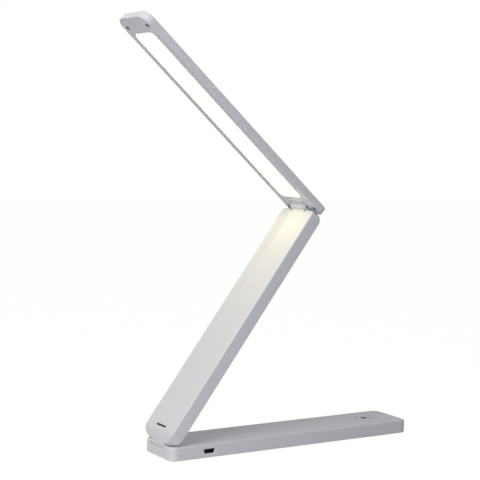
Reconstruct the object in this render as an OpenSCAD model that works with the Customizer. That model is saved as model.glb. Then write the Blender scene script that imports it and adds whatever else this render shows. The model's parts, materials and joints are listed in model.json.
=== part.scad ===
// Folding desk lamp: a base, an arm and a thin light head, three flat bars that fold onto each
// other. The arm turns on a pin at the hinge end of the base, the head on a pin at the arm's top.
// Origin: centre of the base's footprint, on the surface it stands on. +X runs to the key end.

/* [Bars] */
// Width of the three bars
bar_w = 38; // [36:0.5:42]
// Length of the base
base_len = 198; // [190:0.5:215]
// Thickness of the base without its rubber foot
base_t = 9.2; // [9:0.1:12]
// Distance between the two hinge axes, measured along the arm
arm_pitch = 188.5; // [150:0.5:205]
// Thickness of the arm
arm_t = 9.6; // [9.2:0.1:12]
// Length of the head
head_len = 191.8; // [150:0.2:205]
// Thickness of the head
head_t = 5.4; // [5.4:0.1:8]
// Gap between two folded bars
fold_gap = 0.4; // [0.3:0.1:0.8]

/* [Rest pose] */
// Angle of the arm above the base
arm_angle = 53.45; // [30:0.05:85]
// Angle by which the head is opened from the arm
head_opening = 95.25; // [30:0.05:104]

/* [Corners] */
// Plan corner radius of the base at its hinge end
base_hinge_r = 5.4; // [3:0.1:7]
// Plan corner radius of the base at its key end
base_key_r = 5.8; // [3:0.1:7]
// Plan corner radius of the arm at its lower end
arm_low_r = 9.2; // [6:0.1:9.8]
// Plan corner radius of the arm at its upper end
arm_up_r = 2.5; // [1.5:0.1:7]
// Plan corner radius of the head at its hinge end
head_hinge_r = 3.3; // [2.5:0.1:5]
// Plan corner radius of the head at its far end
head_far_r = 7.8; // [5:0.1:9]
// Rounding of the edges that face outwards
edge_r = 1.0; // [0.5:0.1:1.2]
// Rounding of the arm's long edges
arm_edge_r = 0.9; // [0.5:0.1:1.2]
// Rounding of the rims that lie against a table or another bar
rim_r = 0.4; // [0.2:0.1:0.8]

/* [Walls] */
// Side walls of the base and the arm
shell_wall = 1.5; // [1.2:0.1:2]
// Broad face of the base and the arm
skin_t = 1.4; // [1.2:0.1:1.8]
// Cover plates of the base and the arm
cover_t = 1.5; // [1.2:0.1:1.8]
// Side walls of the head
head_wall = 1.3; // [1:0.1:1.8]
// Outer skin of the head
head_skin = 1.2; // [1:0.1:1.4]
// Bezel that frames the light window
bezel_t = 1.0; // [0.8:0.1:1.2]
// Gap around a cover or bezel
panel_gap = 0.15; // [0.1:0.05:0.3]

/* [Hinges] */
// Width of the arm's tongues
tongue_w = 18; // [17:0.2:20]
// Gap on each side of a tongue
tongue_gap = 0.3; // [0.2:0.05:0.5]
// Radius of the lower tongue's barrel, which is also its distance from the base's end
low_barrel_r = 6.2; // [5.8:0.1:6.4]
// Radius of the upper tongue's barrel
up_barrel_r = 4.0; // [3.8:0.1:4.2]
// Gap between a barrel and its notch
barrel_gap = 0.3; // [0.2:0.05:0.4]
// Lean of the tongues' straight flanks, from the arm's long axis
flank_lean = 36.55; // [30:0.05:45]
// Gap between the arm's two heels and the base's top
heel_gap = 1.2; // [0.8:0.1:1.6]
// Rounding of the heels
heel_r = 1.5; // [1:0.1:2]
// Distance of the arm's upper shoulders from the upper axis
shoulder_inset = 2.3; // [2:0.1:3]
// Length of the head beyond the upper axis
head_tail = 8.3; // [8:0.1:9]
// Wall of the lower barrel around its moulded-in steel knuckle
low_barrel_wall = 1.2; // [1:0.1:1.3]
// Wall of the upper barrel around its moulded-in steel knuckle
up_barrel_wall = 0.8; // [0.7:0.05:0.9]
// Half width of the steel knuckles
knuckle_y = 2.9; // [2.5:0.1:4]
// Thickness of the friction washers
washer_t = 0.8; // [0.5:0.1:0.9]
// Thickness of the brackets' ears, which stand on both sides of a barrel
ear_t = 1.2; // [1:0.1:1.4]
// Radius of the lower hinge pin
low_pin_r = 1.5; // [1.2:0.1:1.8]
// Radius of the upper hinge pin
up_pin_r = 1.2; // [1:0.1:1.3]
// Radial clearance of a hinge pin in its bores
pin_clear = 0.05; // [0.02:0.01:0.08]
// Thickness of the lower bracket and leaf
low_steel_t = 1.2; // [1:0.1:1.3]
// Thickness of the upper bracket and leaf
up_steel_t = 0.8; // [0.7:0.1:0.9]

/* [Screws] */
// Thread radius of the screws
screw_r = 0.8; // [0.7:0.05:0.9]
// Head radius of the screws
screw_head_r = 1.5; // [1.3:0.1:1.6]
// Head height of the screws
screw_head_h = 0.8; // [0.6:0.1:0.8]
// Radial clearance of a screw in its hole
screw_clear = 0.05; // [0.03:0.01:0.08]
// Wall of a screw boss around its thread
boss_wall = 1.3; // [1:0.1:1.4]

/* [Base fittings] */
// Distance of the charging port from the base's hinge end
port_from_end = 29.4; // [28:0.2:34]
// Width of the charging port at its top
port_w = 8.7; // [7.8:0.1:9]
// Height of the charging port
port_h = 2.8; // [2.4:0.1:2.9]
// Slant of the port's two sides
port_slant = 1.1; // [0.6:0.1:1.3]
// Distance of the touch key from the base's key end
key_from_end = 25; // [22:0.5:30]
// Sideways place of the touch key's lens
key_y = 1.2; // [-2:0.1:2]
// Radius of the touch key's lens
key_r = 1.6; // [1.2:0.1:2]
// Thickness of the circuit boards
board_t = 1.0; // [0.8:0.1:1.2]
// Length of the control board
board_len = 40; // [36:1:46]
// Length of the steel ballast plate
ballast_len = 42; // [30:1:50]
// Thickness of the steel ballast plate
ballast_t = 3; // [2:0.1:4]
// Thickness of the sticky pad under the battery
pad_t = 0.5; // [0.3:0.1:0.8]
// Width of the rubber foot under the base
foot_w = 24; // [16:0.5:25]
// Distance of the rubber foot from both ends of the base
foot_from_end = 12; // [11:0.5:40]
// Corner radius of the rubber foot
foot_r = 4; // [2:0.1:6]
// Height by which the rubber foot stands proud
foot_proud = 0.5; // [0.4:0.1:1]
// Depth of the rubber foot's recess in the cover
foot_sunk = 0.5; // [0.3:0.1:0.7]

/* [Arm fittings] */
// Length of the lower slot in the arm's face
low_slot_len = 13; // [10:0.1:14]
// Width of the lower slot
low_slot_w = 1.3; // [1:0.1:1.6]
// Distance of the lower slot from the lower axis
low_slot_u = 7.1; // [6:0.1:7.4]
// Length of the upper slot in the arm's face
up_slot_len = 10.4; // [9:0.1:12]
// Width of the upper slot
up_slot_w = 2.2; // [1.6:0.1:2.6]
// Distance of the upper slot from the upper axis
up_slot_u = 9.5; // [9:0.1:10.5]
// Depth of both slots
slot_depth = 1.2; // [0.8:0.1:1.3]
// Width of the leads that run inside the bars
lead_w = 1.5; // [1:0.1:1.8]

/* [Head fittings] */
// Distance of the light window's near end from the upper axis
window_near = 9.9; // [9.9:0.1:12]
// Distance of the light window's far end from the head's far end
window_inset = 13.85; // [13:0.05:16]
// Width of the light window
window_w = 25.4; // [24:0.1:26.5]
// Corner radius of the light window
window_r = 4; // [2:0.1:5]
// Overlap of the bezel over the light panel
window_lip = 1.0; // [0.6:0.1:1]
// Thickness of the diffuser
diffuser_t = 0.8; // [0.6:0.1:1]
// Thickness of the reflector sheet
reflector_t = 0.4; // [0.2:0.1:0.5]
// Number of light emitters along each long edge
led_count = 18; // [10:1:24]
// Length of one light emitter
led_len = 3; // [2:0.1:4]
// Depth of one light emitter
led_d = 1.0; // [0.8:0.1:1.2]
// Distance of the far bezel screws from the head's far end
far_screw_x = 8.3; // [7.8:0.1:9]
// Sideways place of the far bezel screws
far_screw_y = 13.8; // [12:0.1:14.2]
// Distance of the near bezel screws past the upper axis
near_screw_x = 1.9; // [1.5:0.1:2.5]
// Sideways place of the near bezel screws
near_screw_y = 15.1; // [14:0.1:15.2]

/* [Hidden] */
$fn = 48;

half_w = bar_w / 2;
in_y = half_w - shell_wall;
tongue_y = tongue_w / 2;
notch_y = tongue_y + tongue_gap;
eps = 0.01;

// Base, in the part's own frame
base_x0 = -base_len / 2;
base_x1 = base_len / 2;
base_z0 = foot_proud;
base_z1 = base_z0 + base_t;
base_in_z0 = base_z0 + cover_t;
base_in_z1 = base_z1 - skin_t;
low_axis_x = base_x0 + low_barrel_r;
low_axis_z = base_z1 + fold_gap / 2;
low_notch_r = low_barrel_r + barrel_gap;
housing_wall = 1.5;
housing_y = notch_y + housing_wall;
housing_x1 = low_axis_x + low_notch_r + housing_wall;
end_wall_drop = 3;
screw_from_end = 6.5;
base_screw_y = in_y - 3.2;
foot_gap = 0.1;

// Arm, in its own frame: x along the arm from the lower axis, z outwards from that axis
arm_z0 = fold_gap / 2;
arm_z1 = arm_z0 + arm_t;
arm_in_z0 = arm_z0 + cover_t;
arm_in_z1 = arm_z1 - skin_t;
up_axis_z = arm_z1 + fold_gap / 2;
shoulder_u = arm_pitch - shoulder_inset;
low_block = 10;
up_block = 12.5;
room_u0 = low_block;
room_u1 = arm_pitch - up_block;
low_flank = [-low_barrel_r * sin(flank_lean), low_barrel_r * cos(flank_lean)];
low_flank_u = low_flank[0] + (arm_z1 - low_flank[1]) / tan(flank_lean);
up_flank = [arm_pitch + up_barrel_r * sin(flank_lean), up_axis_z - up_barrel_r * cos(flank_lean)];
up_flank_u = up_flank[0] - (up_flank[1] - arm_z0) / tan(flank_lean);
cover_screw_in = 6;
cover_screw_y = in_y - 4;

// The arm's heels lie along the base's top, and their fronts along the tongue's flank
heel_n = [sin(arm_angle), cos(arm_angle)];
heel_e = [cos(arm_angle), -sin(arm_angle)];
flank_e = [cos(flank_lean), sin(flank_lean)];
heel_h = heel_gap - fold_gap / 2;
heel_corner = low_flank + (heel_h - low_flank * heel_n) / (flank_e * heel_n) * flank_e;
heel_t = heel_r / tan((arm_angle + flank_lean) / 2);
heel_u = (heel_h - arm_z0 * heel_n[1]) / heel_n[0];

// Head, in its own frame: x from the upper axis to the far end, z out of the lit face
head_x0 = -head_tail;
head_x1 = head_len - head_tail;
head_z1 = -fold_gap / 2;
head_z0 = head_z1 - head_t;
head_in_z0 = head_z0 + head_skin;
head_in_z1 = head_z1 - bezel_t;
head_in_y = half_w - head_wall;
up_notch_r = up_barrel_r + barrel_gap;
up_wall = 1.1;
up_housing_y = notch_y + up_wall;
up_housing_x1 = up_notch_r + up_wall;
max_opening = 105;
flank_turn = flank_lean - 270 + max_opening;
window_far = head_x1 - window_inset;
panel_x0 = window_near - window_lip;
panel_x1 = window_far + window_lip;
panel_y = window_w / 2 + window_lip;

// Steel of the hinges: an ear on each side of a barrel, and a knuckle in the barrel's middle
side_play = 0.1;
ear_y = tongue_y - ear_t;
barrel_y = ear_y - side_play;
washer_y = ear_y - washer_t;
low_knuckle_r = low_barrel_r - low_barrel_wall;
low_washer_r = low_barrel_r - 2;
low_ear_r = low_barrel_r - 0.1;
low_web_z = -2.3;
low_plate_z = -4.2;
low_plate_x0 = low_notch_r + housing_wall + 0.1;
low_plate_x1 = low_plate_x0 + 7;
low_bracket_screw = [low_plate_x0 + 3.9, 3];
up_knuckle_r = up_barrel_r - up_barrel_wall;
up_washer_r = up_barrel_r - 1.3;
up_ear_r = up_barrel_r - 0.1;
up_web_z = -1.5;
up_plate_z = head_in_z0 + 2.0;
up_plate_x0 = up_housing_x1 + 0.1;
up_plate_x1 = panel_x0 - 0.3;
up_bracket_screw = [(up_housing_x1 + up_plate_x1) / 2 + 0.1, 8.2];
up_screw_head_r = 1.25;
leaf_len = 26;
leaf_screws = [16, 22];
low_leaf_z = 2.6;
up_leaf_z = -3.4;
head_lead_run = 6;
lead_t = 0.6;
led_board_t = 0.8;

// Boards and battery
port_x = base_x0 + port_from_end;
board_x0 = port_x - 8;
board_x1 = board_x0 + board_len;
board_z1 = base_in_z1 - 1.0;
board_z0 = board_z1 - board_t;
board_y0 = -in_y + 0.6;
board_y1 = 14;
board_holes = [[board_x0 + 3.5, 11], [board_x1 - 3.5, 11], [board_x1 - 3.5, -11]];
chip_side = 7;
chip_h = 1.2;
coil_side = 5;
coil_h = 2;
plug_len = 4;
plug_w = 6;
plug_h = 2.4;
port_wall = 0.3;
port_play = 0.1;
port_depth = 5.6;
ballast_x1 = base_x1 - 13;
ballast_x0 = ballast_x1 - ballast_len;
battery_x0 = board_x1 + 8;
battery_x1 = ballast_x0 - 4;
battery_y = in_y - 2.5;
battery_z0 = base_in_z0 + pad_t;
pad_inset = 4;
battery_z1 = base_in_z1 - 0.8;
key_x = base_x1 - key_from_end;
sensor_len = 14;
sensor_w = 12;
lens_clear = 0.05;

// A rectangle with a radius of its own at each corner, from the lower left one round
module soft_rect(a, b, r) {
    polygon([
        [a[0] + r[0], a[1]], [b[0] - r[1], a[1]], [b[0], a[1] + r[1]], [b[0], b[1] - r[2]],
        [b[0] - r[2], b[1]], [a[0] + r[3], b[1]], [a[0], b[1] - r[3]], [a[0], a[1] + r[0]]
    ]);
    translate([a[0] + r[0], a[1] + r[0]]) circle(r[0]);
    translate([b[0] - r[1], a[1] + r[1]]) circle(r[1]);
    translate([b[0] - r[2], b[1] - r[2]]) circle(r[2]);
    translate([a[0] + r[3], b[1] - r[3]]) circle(r[3]);
}

// A side view, drawn in x and z, given the width between y0 and y1
module along_y(y0, y1) {
    translate([0, y1, 0]) rotate([90, 0, 0]) linear_extrude(y1 - y0) children();
}

// A cross-section, drawn in y and z, given the length between x0 and x1
module along_x(x0, x1) {
    translate([x0, 0, 0]) rotate([90, 0, 90]) linear_extrude(x1 - x0) children();
}

// A block between two corners
module block(a, b) {
    translate(a) cube(b - a);
}

// A round along y, centred on x and z
module rod(x, z, r, y0, y1) {
    translate([x, y1, z]) rotate([90, 0, 0]) cylinder(h = y1 - y0, r = r);
}

// Puts what is drawn on both sides, y and -y
module both_sides() {
    children();
    mirror([0, 1, 0]) children();
}

// Puts the arm's own frame at the lower axis
module arm_frame() {
    translate([low_axis_x, 0, low_axis_z]) rotate([0, -arm_angle, 0]) children();
}

// Puts the head's own frame at the upper axis
module head_frame() {
    arm_frame() translate([arm_pitch, 0, up_axis_z]) rotate([0, head_opening - 180, 0]) children();
}

// A screw that points along +z, with the underside of its head at z = 0
module screw(length, head_r = screw_head_r) {
    translate([0, 0, -screw_head_h]) cylinder(h = screw_head_h, r = head_r);
    cylinder(h = length, r = screw_r);
}

// The hole of a screw's thread
module pilot(length) {
    cylinder(h = length, r = screw_r + screw_clear);
}

// A plate with the hole and the sunk seat of a screw head, cut from z = 0 up
module head_seat(plate) {
    translate([0, 0, -eps]) cylinder(h = plate + 2 * eps, r = screw_r + 0.2);
    translate([0, 0, -eps]) cylinder(h = screw_head_h + 0.1 + eps, r = screw_head_r + 0.2);
}

// Steel bracket of a hinge: two round ears on the pin, and a plate that lies in the bar
module bracket(ear_r, pin_r, web_x, web_z, plate_x0, plate_x1, plate_z, steel, wide_y, hole) {
    difference() {
        union() {
            both_sides() {
                rod(0, 0, ear_r, ear_y, tongue_y);
                block([web_x, ear_y, plate_z - steel], [plate_x0 + 0.2, tongue_y, web_z]);
            }
            block([plate_x0, -wide_y, plate_z - steel], [plate_x1, wide_y, plate_z]);
        }
        rod(0, 0, pin_r + pin_clear, -tongue_y - 1, tongue_y + 1);
        both_sides() translate([hole[0], hole[1], plate_z - steel - 1])
            cylinder(h = steel + 2, r = screw_r + 0.1);
    }
}

// The slots through which a bracket's ears reach its plate
module bracket_slots(x1, z0, z1) {
    both_sides() block([0, ear_y - side_play, z0], [x1, tongue_y + side_play, z1]);
}

// Steel leaf of a hinge: a knuckle around the pin with a strip that lies in the arm
module leaf(knuckle_r, pin_r, strip_z, steel, way) {
    difference() {
        union() {
            rod(0, 0, knuckle_r, -knuckle_y, knuckle_y);
            block([min(0, way * leaf_len), -knuckle_y, strip_z],
                  [max(0, way * leaf_len), knuckle_y, strip_z + steel]);
        }
        rod(0, 0, pin_r + pin_clear, -knuckle_y - 1, knuckle_y + 1);
        for (u = leaf_screws) translate([way * u, 0, strip_z - 1])
            cylinder(h = steel + 2, r = screw_r + 0.1);
    }
}

module washers(outer_r, pin_r) {
    both_sides() difference() {
        rod(0, 0, outer_r, washer_y, ear_y);
        rod(0, 0, pin_r + pin_clear, washer_y - 1, ear_y + 1);
    }
}

// What a barrel leaves free: its steel knuckle, the washers, the bracket's ears and the pin
module barrel_hollow(knuckle_r, washer_r, ear_r, pin_r) {
    rod(0, 0, knuckle_r, -knuckle_y - 0.1, knuckle_y + 0.1);
    both_sides() {
        rod(0, 0, washer_r + 0.3, washer_y, tongue_y);
        rod(0, 0, ear_r + 0.3, barrel_y, tongue_y + side_play);
    }
    rod(0, 0, pin_r + pin_clear, -tongue_y - 1, tongue_y + 1);
}

// ---- Base ----

module base_form() {
    intersection() {
        translate([0, 0, base_z0]) linear_extrude(base_t)
            soft_rect([base_x0, -half_w], [base_x1, half_w],
                      [base_hinge_r, base_key_r, base_key_r, base_hinge_r]);
        along_y(-half_w - 1, half_w + 1)
            soft_rect([base_x0, base_z0], [base_x1, base_z1], [rim_r, rim_r, edge_r, edge_r]);
        along_x(base_x0 - 1, base_x1 + 1)
            soft_rect([-half_w, base_z0], [half_w, base_z1], [rim_r, rim_r, edge_r, edge_r]);
    }
}

// The outline of the base's room, or of what fits in it with a gap
module base_room_plan(gap) {
    soft_rect([base_x0 + shell_wall + gap, -in_y + gap], [base_x1 - shell_wall - gap, in_y - gap],
              [for (r = [base_hinge_r, base_key_r, base_key_r, base_hinge_r]) r - shell_wall - gap]);
}

module at_base_screws() {
    for (x = [base_x0 + screw_from_end, base_x1 - screw_from_end])
        both_sides() translate([x, base_screw_y, 0]) children();
}

module port_plan(grow) {
    polygon([
        [port_x - port_w / 2 - grow, port_h + grow], [port_x + port_w / 2 + grow, port_h + grow],
        [port_x + port_w / 2 - port_slant + grow, -grow],
        [port_x - port_w / 2 + port_slant - grow, -grow]
    ]);
}

module base_shell() {
    color("gainsboro") difference() {
        union() {
            difference() {
                base_form();
                translate([0, 0, base_z0 - 1]) linear_extrude(base_t - skin_t + 1)
                    base_room_plan(0);
            }
            block([base_x0 + shell_wall - eps, -housing_y, base_in_z0],
                  [housing_x1, housing_y, base_in_z1 + eps]);
            at_base_screws() translate([0, 0, base_in_z0])
                cylinder(h = base_in_z1 - base_in_z0 + eps, r = screw_r + boss_wall);
            both_sides() translate([low_axis_x + low_bracket_screw[0], low_bracket_screw[1],
                                    low_axis_z + low_plate_z])
                cylinder(h = base_in_z1 - low_axis_z - low_plate_z + eps, r = screw_r + boss_wall);
            for (p = board_holes) translate([p[0], p[1], board_z1])
                cylinder(h = base_in_z1 - board_z1 + eps, r = screw_r + boss_wall);
        }
        rod(low_axis_x, low_axis_z, low_notch_r, -notch_y, notch_y);
        block([base_x0 - 1, -notch_y, base_z1 - end_wall_drop], [low_axis_x, notch_y, base_z1 + 1]);
        translate([low_axis_x, 0, low_axis_z]) bracket_slots(low_plate_x0 + 1,
            low_plate_z - low_steel_t - 0.2, low_web_z + 0.2);
        at_base_screws() translate([0, 0, base_in_z0 - eps])
            pilot(base_in_z1 - base_in_z0 + 0.5);
        both_sides() translate([low_axis_x + low_bracket_screw[0], low_bracket_screw[1],
                                low_axis_z + low_plate_z - eps])
            pilot(base_in_z1 - low_axis_z - low_plate_z + 0.5);
        for (p = board_holes) translate([p[0], p[1], board_z1 - eps])
            pilot(base_in_z1 - board_z1 + 0.8);
        translate([0, 0, board_z0 - port_h]) along_y(-half_w - 1, -in_y + 1) port_plan(port_play);
        translate([key_x, key_y, base_in_z1 - 1]) cylinder(h = skin_t + 2, r = key_r + lens_clear);
    }
}

module base_cover() {
    color("gainsboro") difference() {
        translate([0, 0, base_z0]) linear_extrude(cover_t) base_room_plan(panel_gap);
        at_base_screws() translate([0, 0, base_z0]) head_seat(cover_t);
        translate([0, 0, base_z0 - eps]) linear_extrude(foot_sunk + eps) foot_plan(foot_gap);
    }
}

module base_screws() {
    color("dimgray") at_base_screws()
        translate([0, 0, base_z0 + screw_head_h + 0.1]) screw(base_in_z1 - base_z0 - 1.6);
}

module foot_plan(grow) {
    x = base_x1 - foot_from_end + grow;
    y = foot_w / 2 + grow;
    r = foot_r + grow;
    soft_rect([-x, -y], [x, y], [r, r, r, r]);
}

module rubber_foot() {
    color("darkgray") linear_extrude(foot_proud + foot_sunk) foot_plan(0);
}

module ballast_plate() {
    color("slategray")
        block([ballast_x0, -battery_y, base_in_z0], [ballast_x1, battery_y, base_in_z0 + ballast_t]);
}

module battery_pad() {
    color("khaki") block([battery_x0 + pad_inset, -battery_y + pad_inset, base_in_z0],
                         [battery_x1 - pad_inset, battery_y - pad_inset, battery_z0]);
}

module battery_cell() {
    color("silver") translate([0, 0, battery_z0]) linear_extrude(battery_z1 - battery_z0)
        soft_rect([battery_x0, -battery_y], [battery_x1, battery_y], [1, 1, 1, 1]);
}

module control_board() {
    color("darkgreen") difference() {
        block([board_x0, board_y0, board_z0], [board_x1, board_y1, board_z1]);
        for (p = board_holes) translate([p[0], p[1], board_z0 - 1])
            cylinder(h = board_t + 2, r = screw_r + 0.1);
    }
}

// Chips, coil and plugs, all hung from the underside of the control board
module board_components() {
    mid_x = board_x0 + board_len / 2;
    color("black") {
        on_board(mid_x, 0, chip_side, chip_side, chip_h);
        on_board(mid_x + chip_side + 2, chip_side - 1, coil_side, coil_side, coil_h);
        on_board(mid_x + chip_side + 1, -chip_side, coil_side - 1.5, coil_side + 1, coil_h - 0.4);
        on_board(mid_x - chip_side + 1, chip_side, plug_len, plug_len - 1, chip_h - 0.2);
        on_board(mid_x + 1, -chip_side - 2, plug_len - 1, plug_len / 2, chip_h - 0.4);
        on_board(board_x1 - 1 - plug_len / 2, 1.5, plug_len, plug_w, plug_h);
    }
}

// A part of given length, width and height under the control board, centred on x and y
module on_board(x, y, length, width, height) {
    block([x - length / 2, y - width / 2, board_z0 - height], [x + length / 2, y + width / 2, board_z0]);
}

module board_screws() {
    color("dimgray") for (p = board_holes)
        translate([p[0], p[1], board_z0]) screw(board_t + base_in_z1 - board_z1 + 0.5);
}

module usb_socket() {
    color("silver") translate([0, 0, board_z0 - port_h]) difference() {
        along_y(-half_w + 0.5, -half_w + port_depth) port_plan(0);
        along_y(-half_w - 1, -half_w + port_depth - port_wall) port_plan(-port_wall);
    }
}

module usb_contact_block() {
    color("black") block([port_x - port_w / 2 + port_slant + 0.8, -half_w + 1.4, board_z0 - 1.6],
                         [port_x + port_w / 2 - port_slant - 0.8, -half_w + port_depth - port_wall,
                          board_z0 - 0.9]);
}

module touch_sensor() {
    color("darkgreen") block([key_x - sensor_len / 2, -sensor_w / 2, base_in_z1 - board_t],
                             [key_x + sensor_len / 2, sensor_w / 2, base_in_z1]);
}

module touch_lens() {
    color("black") translate([key_x, key_y, base_in_z1]) cylinder(h = skin_t, r = key_r);
}

// Leads from the control board to the hinge, the battery and the touch key
module base_leads() {
    lead_y = low_bracket_screw[1] + screw_r + boss_wall + 0.3;
    color("red") {
        block([housing_x1, lead_y, board_z0], [board_x0, lead_y + lead_w, board_z1]);
        block([board_x1 - 1, 0, board_z0 - 1.5], [battery_x0, lead_w, board_z0 - 0.5]);
        block([board_x1, board_y1 - 1, board_z0], [board_x1 + 3, in_y, board_z1]);
        block([board_x1 + 3, in_y - lead_w, board_z0], [key_x - 2, in_y, board_z1]);
        block([key_x - 2, sensor_w / 2, board_z0], [key_x, in_y, board_z1]);
    }
}

module lower_bracket() {
    color("lightsteelblue") translate([low_axis_x, 0, low_axis_z])
        bracket(low_ear_r, low_pin_r, 1.2, low_web_z, low_plate_x0, low_plate_x1, low_plate_z,
                low_steel_t, tongue_y, low_bracket_screw);
}

module lower_bracket_screws() {
    color("dimgray") both_sides()
        translate([low_axis_x + low_bracket_screw[0], low_bracket_screw[1],
                   low_axis_z + low_plate_z - low_steel_t])
        screw(low_steel_t + base_in_z1 - low_axis_z - low_plate_z);
}

module lower_washers() {
    color("white") translate([low_axis_x, 0, low_axis_z]) washers(low_washer_r, low_pin_r);
}

// ---- Arm ----

// The arm's outline with its two heels, which stand over the base's top beside the tongue
module arm_form() {
    intersection() {
        translate([0, 0, arm_z0]) linear_extrude(arm_t)
            soft_rect([heel_corner[0], -half_w], [shoulder_u, half_w],
                      [arm_low_r, arm_up_r, arm_up_r, arm_low_r]);
        along_y(-half_w - 1, half_w + 1) {
            polygon([
                [heel_u, arm_z0], [up_flank_u, arm_z0],
                [shoulder_u, arm_z0 + (shoulder_u - up_flank_u) * tan(flank_lean)],
                [shoulder_u, arm_z1], [low_flank_u, arm_z1],
                heel_corner + heel_t * flank_e, heel_corner + heel_t * heel_e
            ]);
            translate(heel_corner + heel_t * heel_e + heel_r * heel_n) circle(heel_r);
        }
        along_x(heel_corner[0] - 1, shoulder_u + 1) soft_rect([-half_w, arm_z0], [half_w, arm_z1],
            [arm_edge_r, arm_edge_r, arm_edge_r, arm_edge_r]);
    }
}

// The tongues that enter the base and the head: a barrel with one straight flank
module low_tongue() {
    rod(0, 0, low_barrel_r, -tongue_y, tongue_y);
    along_y(-tongue_y, tongue_y) polygon([
        [0, 0], low_flank, [low_flank_u, arm_z1], [low_block, arm_z1], [low_block, arm_z0],
        [low_barrel_r / 2, 0]
    ]);
}

module up_tongue() {
    rod(arm_pitch, up_axis_z, up_barrel_r, -tongue_y, tongue_y);
    along_y(-tongue_y, tongue_y) polygon([
        [arm_pitch, up_axis_z], up_flank, [up_flank_u, arm_z0], [room_u1, arm_z0],
        [room_u1, arm_z1], [arm_pitch - up_barrel_r / 2, arm_z1]
    ]);
}

module arm_room_plan(gap) {
    r = 2.5 - gap;
    soft_rect([room_u0 + gap, -in_y + gap], [room_u1 - gap, in_y - gap], [r, r, r, r]);
}

module at_arm_screws() {
    for (u = [room_u0 + cover_screw_in, room_u1 - cover_screw_in])
        both_sides() translate([u, cover_screw_y, 0]) children();
}

module slot_cut(u, length, width) {
    block([u - width / 2, -length / 2, arm_z1 - slot_depth], [u + width / 2, length / 2, arm_z1 + 1]);
}

module slot_insert(u, length, width, sunk) {
    block([u - width / 2 + 0.1, -length / 2 + 0.1, arm_z1 - slot_depth],
          [u + width / 2 - 0.1, length / 2 - 0.1, arm_z1 - sunk]);
}

module arm_shell() {
    color("gainsboro") arm_frame() difference() {
        union() {
            difference() {
                arm_form();
                translate([0, 0, arm_z0 - 1]) linear_extrude(arm_t - skin_t + 1) arm_room_plan(0);
            }
            low_tongue();
            up_tongue();
            at_arm_screws() translate([0, 0, arm_in_z0])
                cylinder(h = arm_in_z1 - arm_in_z0 + eps, r = screw_r + boss_wall);
            for (u = leaf_screws) {
                translate([u, 0, low_leaf_z + low_steel_t])
                    cylinder(h = arm_in_z1 - low_leaf_z - low_steel_t + eps, r = screw_r + boss_wall);
                translate([arm_pitch - u, 0, up_axis_z + up_leaf_z + up_steel_t])
                    cylinder(h = arm_in_z1 - up_axis_z - up_leaf_z - up_steel_t + eps,
                             r = screw_r + boss_wall);
            }
        }
        barrel_hollow(low_knuckle_r, low_washer_r, low_ear_r, low_pin_r);
        translate([arm_pitch, 0, up_axis_z])
            barrel_hollow(up_knuckle_r, up_washer_r, up_ear_r, up_pin_r);
        block([0, -knuckle_y - 0.2, low_leaf_z - 0.2],
              [low_block + 1, knuckle_y + 0.2, low_leaf_z + low_steel_t + 0.2]);
        block([room_u1 - 1, -knuckle_y - 0.2, up_axis_z + up_leaf_z - 0.2],
              [arm_pitch, knuckle_y + 0.2, up_axis_z + up_leaf_z + up_steel_t + 0.2]);
        at_arm_screws() translate([0, 0, arm_in_z0 - eps]) pilot(arm_in_z1 - arm_in_z0 + 0.5);
        for (u = leaf_screws) {
            translate([u, 0, low_leaf_z]) pilot(arm_in_z1 - low_leaf_z + 0.5);
            translate([arm_pitch - u, 0, up_axis_z + up_leaf_z])
                pilot(arm_in_z1 - up_axis_z - up_leaf_z + 0.8);
        }
        slot_cut(low_slot_u, low_slot_len, low_slot_w);
        slot_cut(arm_pitch - up_slot_u, up_slot_len, up_slot_w);
    }
}

module arm_cover() {
    color("gainsboro") arm_frame() difference() {
        translate([0, 0, arm_z0]) linear_extrude(cover_t) arm_room_plan(panel_gap);
        at_arm_screws() translate([0, 0, arm_z0]) head_seat(cover_t);
    }
}

module arm_screws() {
    color("dimgray") arm_frame() at_arm_screws()
        translate([0, 0, arm_z0 + screw_head_h + 0.1]) screw(arm_in_z1 - arm_z0 - 1.6);
}

module lower_leaf() {
    color("lightsteelblue") arm_frame()
        leaf(low_knuckle_r - 0.1, low_pin_r, low_leaf_z, low_steel_t, 1);
}

module lower_leaf_screws() {
    color("dimgray") arm_frame() for (u = leaf_screws)
        translate([u, 0, low_leaf_z]) screw(arm_in_z1 - low_leaf_z);
}

module lower_hinge_pin() {
    color("silver") arm_frame() rod(0, 0, low_pin_r, -tongue_y + 0.2, tongue_y - 0.2);
}

module upper_leaf() {
    color("lightsteelblue") arm_frame() translate([arm_pitch, 0, up_axis_z])
        leaf(up_knuckle_r - 0.1, up_pin_r, up_leaf_z, up_steel_t, -1);
}

module upper_leaf_screws() {
    color("dimgray") arm_frame() for (u = leaf_screws)
        translate([arm_pitch - u, 0, up_axis_z + up_leaf_z])
            screw(arm_in_z1 - up_axis_z - up_leaf_z + 0.5);
}

module upper_hinge_pin() {
    color("silver") arm_frame()
        rod(arm_pitch, up_axis_z, up_pin_r, -tongue_y + 0.2, tongue_y - 0.2);
}

// Leads along the inside of the arm's face, from block to block
module arm_leads() {
    color("red") arm_frame()
        block([room_u0, 6, arm_in_z1 - 0.8], [room_u1, 6 + 2 * lead_w, arm_in_z1]);
}

module lower_slot_insert() {
    color("black") arm_frame() slot_insert(low_slot_u, low_slot_len, low_slot_w, 0.25);
}

module upper_slot_insert() {
    color("white") arm_frame() slot_insert(arm_pitch - up_slot_u, up_slot_len, up_slot_w, 0.05);
}

// ---- Head ----

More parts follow.
